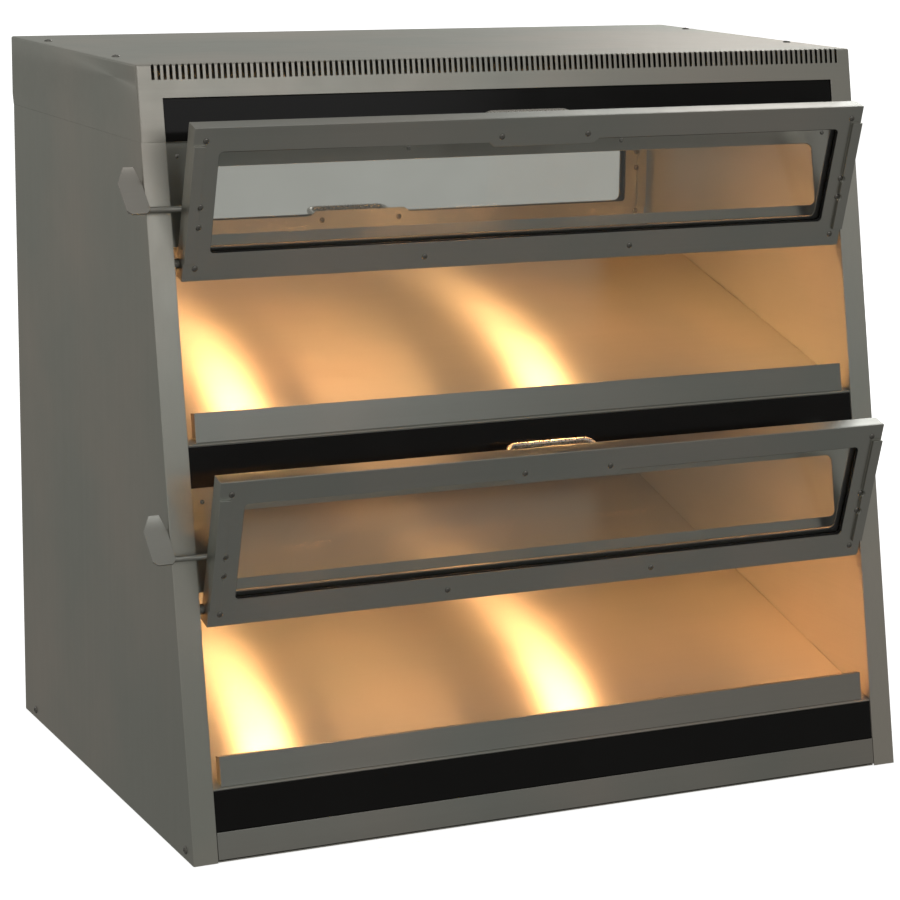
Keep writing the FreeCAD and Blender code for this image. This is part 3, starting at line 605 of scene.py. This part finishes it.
def gland():
    """Ribbed dome nut on a flange, with its clear bore."""
    low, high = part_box("cable_gland")
    centre = (low + high) / 2
    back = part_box("rear_panel_lower")[1].y
    flange = (high.x - low.x) / 2
    steps = [(GLAND_BORE, low.y, 0.0), (GLAND_NECK, low.y, 0.0), (GLAND_NECK, back, 0.0),
             (flange, back, 0.0), (flange, back + 0.0042, 0.0), (flange - 0.0008, back + 0.005, 0.0),
             (GLAND_NUT, back + 0.0052, 0.0), (GLAND_NUT, back + 0.0058, NUT_RIPPLE),
             (GLAND_NUT, back + 0.0152, NUT_RIPPLE), (GLAND_NUT - 0.0008, back + 0.0170, 0.0),
             (GLAND_NUT - 0.0028, high.y - 0.0006, 0.0), (GLAND_NUT - 0.0038, high.y, 0.0),
             (GLAND_BORE, high.y - 0.0008, 0.0)]
    form = bmesh.new()
    rings = [ring_of(form, r, y, centre, ripple) for r, y, ripple in steps]
    for first, second in zip(rings, rings[1:] + rings[:1]):
        for i in range(GLAND_SIDES):
            after = (i + 1) % GLAND_SIDES
            form.faces.new((first[i], first[after], second[after], second[i]))
    bmesh.ops.recalc_face_normals(form, faces=form.faces)
    mesh = bpy.data.meshes.new("gland")
    form.to_mesh(mesh)
    form.free()
    piece = add_piece("ribbed_gland", mesh, "cable_gland", "cable_gland")
    paint(piece, MATERIALS["gland_plastic"])


# ---------------------------------------------------------------- build the looks
SHEET_WORDS = ("side_panel", "top_cap", "kick_panel", "base_pan", "rear_panel", "shelf", "ceiling",
               "transom_frame", "door_tray", "door_retainer", "door_lever", "inner_wall",
               "lamp_reflector")
PANE_WORDS = ("front_glass", "transom_glass", "door_glass", "gasket")

for node in sorted(NODES):
    paint(NODES[node], finish_of(node))
    if any(word in node for word in SHEET_WORDS):
        soften(node, SOFT_WIDTHS.get(node, PLAIN_SHEET), "folded")
    elif any(word in node for word in PANE_WORDS):
        soften(node, PANE_EDGE, "edged")

for tier in TIERS:
    for place in ("front", "rear"):
        stem = "_".join((place, "door"))
        detailed_screws(f"{stem}_screws_{tier}", facing(f"{stem}_retainer_{tier}"))
    for number, (low, high) in enumerate(lamp_boxes(tier), 1):
        filament(f"filament_{tier}_{number}", low, high, "heat_lamps_" + tier)
        lamp_light(low, high)
    trough_light(tier)
detailed_screws("housing_screws", housing_direction)
gland()


# ---------------------------------------------------------------- studio
def add_camera():
    """Camera in front, to the left and a little above."""
    data = bpy.data.cameras.new("camera")
    data.sensor_width = SENSOR_WIDTH
    data.lens = LENS
    data.clip_end = CLIP_END
    camera = bpy.data.objects.new("camera", data)
    bpy.context.scene.collection.objects.link(camera)
    turn = Matrix((CAMERA_RIGHT, CAMERA_UP, CAMERA_BACK)).transposed().to_4x4()
    camera.matrix_world = Matrix.Translation(CAMERA_SPOT) @ turn
    bpy.context.scene.camera = camera


def softbox(name, spot, size, power):
    """White studio light aimed at the middle of the cabinet."""
    holder = area_light(name, spot, size, power, (1.0, 1.0, 1.0))
    holder.rotation_euler = (LIGHT_TARGET - Vector(spot)).to_track_quat("-Z", "Y").to_euler()
    holder.visible_transmission = False


def surroundings():
    """Dim room for the reflections: darker low down, paler overhead and on its bright side."""
    world = bpy.data.worlds.new("room")
    bpy.context.scene.world = world
    world.use_nodes = True
    tree = world.node_tree
    background = tree.nodes["Background"]
    place = tree.nodes.new("ShaderNodeTexCoord").outputs["Generated"]
    split = tree.nodes.new("ShaderNodeSeparateXYZ")
    tree.links.new(place, split.inputs["Vector"])
    height = tree.nodes.new("ShaderNodeMapRange")
    height.inputs["From Min"].default_value = -1.0
    tree.links.new(split.outputs["Z"], height.inputs["Value"])
    shades = tree.nodes.new("ShaderNodeValToRGB")
    while len(shades.color_ramp.elements) < len(ROOM_SHADES):
        shades.color_ramp.elements.new(0.5)
    for element, (position, colour) in zip(shades.color_ramp.elements, ROOM_SHADES):
        element.position = position
        element.color = (*colour, 1.0)
    tree.links.new(height.outputs["Result"], shades.inputs["Fac"])
    towards = tree.nodes.new("ShaderNodeVectorMath")
    towards.operation = "DOT_PRODUCT"
    towards.inputs[1].default_value = BRIGHT_SIDE
    tree.links.new(place, towards.inputs[0])
    tree.links.new(ramp(tree, towards.outputs["Value"], 1.0, BRIGHTEST, 0.5, 1.0),
                   background.inputs["Strength"])
    tree.links.new(shades.outputs["Color"], background.inputs["Color"])


def pale_surface(name, glow):
    """White stage surface that glows evenly."""
    made, tree, shader, place = new_material(name)
    speck = noise(tree, place, (4.0,) * 3, 2.0)
    tree.links.new(blend_colours(tree, ramp(tree, speck, 0.0, 1.0), (0.90, 0.90, 0.895),
                                 (0.92, 0.92, 0.915)), shader.inputs["Base Color"])
    shader.inputs["Roughness"].default_value = 0.9
    shader.inputs["Emission Color"].default_value = (1.0, 1.0, 1.0, 1.0)
    shader.inputs["Emission Strength"].default_value = glow
    return made


def add_stage():
    """Pale floor and a pale backdrop all round, neither of which lights the cabinet or shows in it."""
    floor_mesh = bpy.data.meshes.new("floor")
    form = bmesh.new()
    bmesh.ops.create_grid(form, x_segments=8, y_segments=8, size=FLOOR_HALF)
    form.to_mesh(floor_mesh)
    form.free()
    floor = bpy.data.objects.new("floor", floor_mesh)
    floor.location.z = -FLOOR_DROP
    paint(floor, pale_surface("pale_floor", FLOOR_GLOW))
    dome_mesh = bpy.data.meshes.new("backdrop")
    form = bmesh.new()
    bmesh.ops.create_uvsphere(form, u_segments=48, v_segments=24, radius=BACKDROP_RADIUS)
    form.to_mesh(dome_mesh)
    form.free()
    dome = bpy.data.objects.new("backdrop", dome_mesh)
    paint(dome, pale_surface("pale_backdrop", BACKDROP_GLOW))
    for item in (floor, dome):
        bpy.context.scene.collection.objects.link(item)
        item.visible_glossy = False
        item.visible_diffuse = False
        item.visible_transmission = False
    dome.visible_shadow = False


add_camera()
surroundings()
add_stage()
for name, spot, size, power in SOFTBOXES:
    softbox(name, spot, size, power)
bpy.context.scene.view_settings.view_transform = "Standard"
